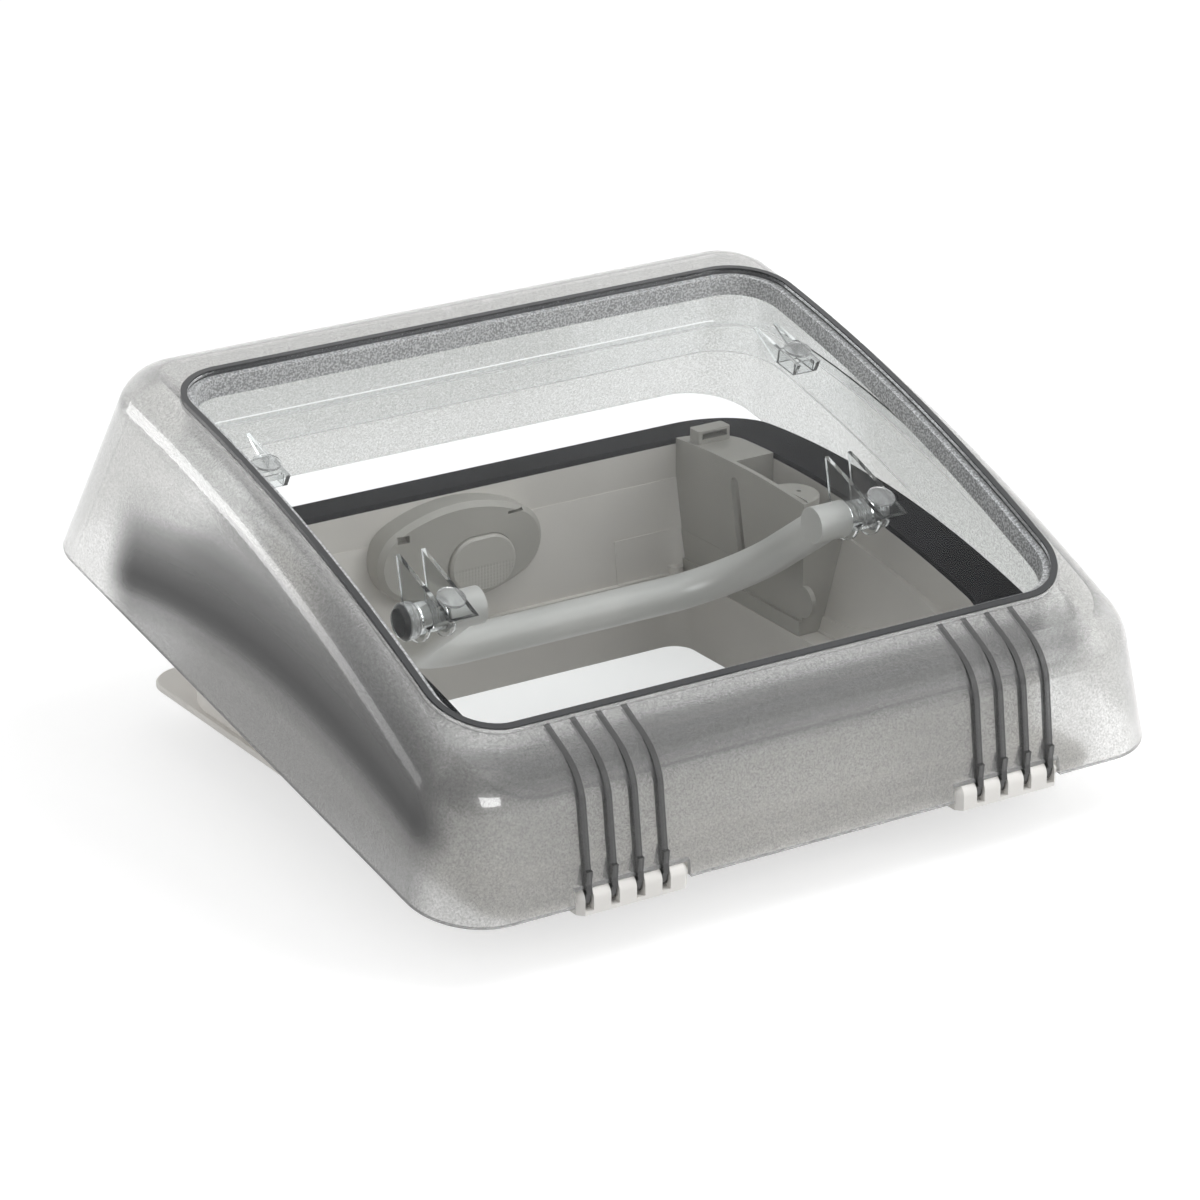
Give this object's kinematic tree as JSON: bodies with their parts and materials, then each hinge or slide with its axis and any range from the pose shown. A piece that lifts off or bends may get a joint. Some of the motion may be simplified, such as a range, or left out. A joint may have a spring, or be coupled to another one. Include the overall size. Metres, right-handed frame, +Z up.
{
  "type": "hinged roof vent",
  "caption": "Double-skin roof vent for a leisure vehicle: smoked lid with a clear window, front hinge, lifting bow, seal, catch and flanged base frame",
  "frame": {"origin": "centre of the base flange, on the flange's underside, which is z = 0; the throat collar hangs below it", "axes": "+X right along the hinge line, +Y from the hinge to the rear edge, +Z up off the roof"},
  "size_m": [0.534, 0.5154, 0.258],
  "materials": {
    "frame_plastic": "fine matte moulded ABS, warm white",
    "trim_plastic": "matte moulded ABS, light grey",
    "seal_rubber": "dark flat EPDM sealing strip",
    "bead_plastic": "dark glossy bead",
    "pin_steel": "plain drawn steel",
    "smoked_acrylic": "smoked translucent acrylic with a fine grain inside",
    "clear_acrylic": "clear acrylic",
    "spacer_plastic": "grey grained plastic",
    "bracket_acrylic": "clear moulded acrylic",
    "pad_plastic": "grey bonding pad",
    "bow_plastic": "smooth satin grey plastic"
  },
  "bodies": {
    "base": {"base_frame": "frame_plastic", "curb_seal": "seal_rubber", "hinge_block_right": "frame_plastic", "hinge_block_left": "frame_plastic", "hinge_pin_right": "pin_steel", "hinge_pin_left": "pin_steel", "side_housing": "trim_plastic", "housing_cap": "trim_plastic", "corner_lug": "trim_plastic", "catch_cover": "trim_plastic", "catch_spring": "pin_steel"},
    "lid": {"lid_shell": "smoked_acrylic", "window_bead": "bead_plastic", "outer_pane": "clear_acrylic", "pane_spacer": "spacer_plastic", "inner_pane": "clear_acrylic", "near_bracket_right": "bracket_acrylic", "near_bracket_left": "bracket_acrylic", "far_bracket_right": "bracket_acrylic", "far_bracket_left": "bracket_acrylic", "near_pad_right": "pad_plastic", "near_pad_left": "pad_plastic", "far_pad_right": "pad_plastic", "far_pad_left": "pad_plastic"},
    "bow": {"bow_tube": "bow_plastic", "bow_pin_right": "bow_plastic", "bow_pin_left": "bow_plastic", "bow_knob_right": "bow_plastic", "bow_knob_left": "bow_plastic"},
    "button": {"catch_button": "trim_plastic"}
  },
  "joints": [
    {"name": "lid_hinge", "type": "hinge", "parent": "base", "child": "lid", "pos_m": [0, -0.23, 0.009], "axis": [1, 0, 0], "range_deg": [-10, 50]},
    {"name": "bow_pivot", "type": "hinge", "parent": "lid", "child": "bow", "pos_m": [0, -0.04015, 0.11863], "axis": [1, 0, 0], "range_deg": [-35, 45]},
    {"name": "button_press", "type": "slide", "parent": "base", "child": "button", "axis": [0, 1, 0], "range_m": [0, 0.003], "stiffness_N_per_m": 400, "deforming": ["catch_spring"]}
  ]
}
